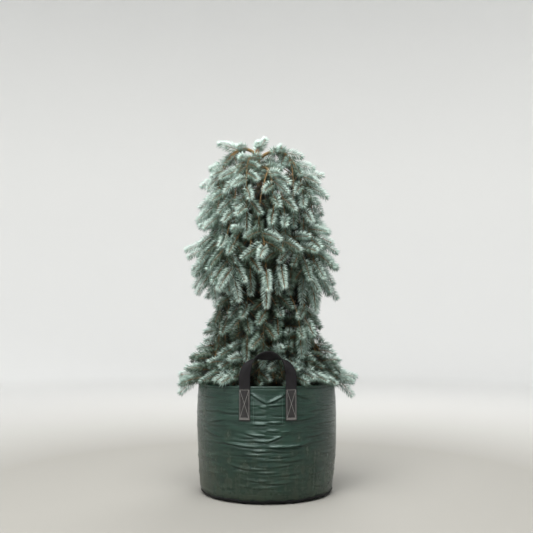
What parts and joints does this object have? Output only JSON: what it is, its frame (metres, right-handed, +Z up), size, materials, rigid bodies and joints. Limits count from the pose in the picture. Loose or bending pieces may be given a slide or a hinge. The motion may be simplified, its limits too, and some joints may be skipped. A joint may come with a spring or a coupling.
{
  "type": "potted weeping blue spruce",
  "caption": "Weeping blue spruce whose needled strands hang in tiers from a single leader, in a round woven planter bag with carrying handles.",
  "frame": {"origin": "centre of the bag's flat underside, on the surface that it stands on", "axes": "+Z up along the trunk, -Y towards the front handle, +X to the right as seen from the front"},
  "size_m": [0.7211, 0.6702, 1.3923],
  "materials": {
    "woven_bag": "woven polyethylene, satin",
    "black_tape": "woven tape",
    "black_webbing": "woven webbing, matte",
    "potting_mix": "composted bark, rough",
    "bark": "scaly, rough",
    "needles": "waxy blue-green needles"
  },
  "bodies": {
    "root": {"planter_bag": "woven_bag", "bottom_binding": "black_tape", "handle_front": "black_webbing", "handle_back": "black_webbing", "potting_mix": "potting_mix", "trunk": "bark", "bough_upper_1": "bark", "bough_upper_2": "bark", "bough_upper_3": "bark", "bough_upper_4": "bark", "bough_upper_5": "bark", "bough_upper_6": "bark", "bough_upper_7": "bark", "bough_upper_8": "bark", "bough_middle_1": "bark", "bough_middle_2": "bark", "bough_middle_3": "bark", "bough_middle_4": "bark", "bough_middle_5": "bark", "bough_middle_6": "bark", "bough_middle_7": "bark", "bough_middle_8": "bark", "foliage_upper_1": "needles", "foliage_upper_2": "needles", "foliage_upper_3": "needles", "foliage_upper_4": "needles", "foliage_upper_5": "needles", "foliage_upper_6": "needles", "foliage_upper_7": "needles", "foliage_upper_8": "needles", "foliage_middle_1": "needles", "foliage_middle_2": "needles", "foliage_middle_3": "needles", "foliage_middle_4": "needles", "foliage_middle_5": "needles", "foliage_middle_6": "needles", "foliage_middle_7": "needles", "foliage_middle_8": "needles", "foliage_lower_1": "needles", "foliage_lower_2": "needles", "foliage_lower_3": "needles", "foliage_lower_4": "needles", "foliage_lower_5": "needles", "foliage_lower_6": "needles", "foliage_lower_7": "needles", "foliage_skirt_1": "needles", "foliage_skirt_2": "needles", "foliage_skirt_3": "needles", "foliage_skirt_4": "needles", "foliage_skirt_5": "needles", "foliage_skirt_6": "needles", "foliage_skirt_7": "needles", "foliage_skirt_8": "needles", "foliage_leader": "needles"}
  },
  "joints": []
}
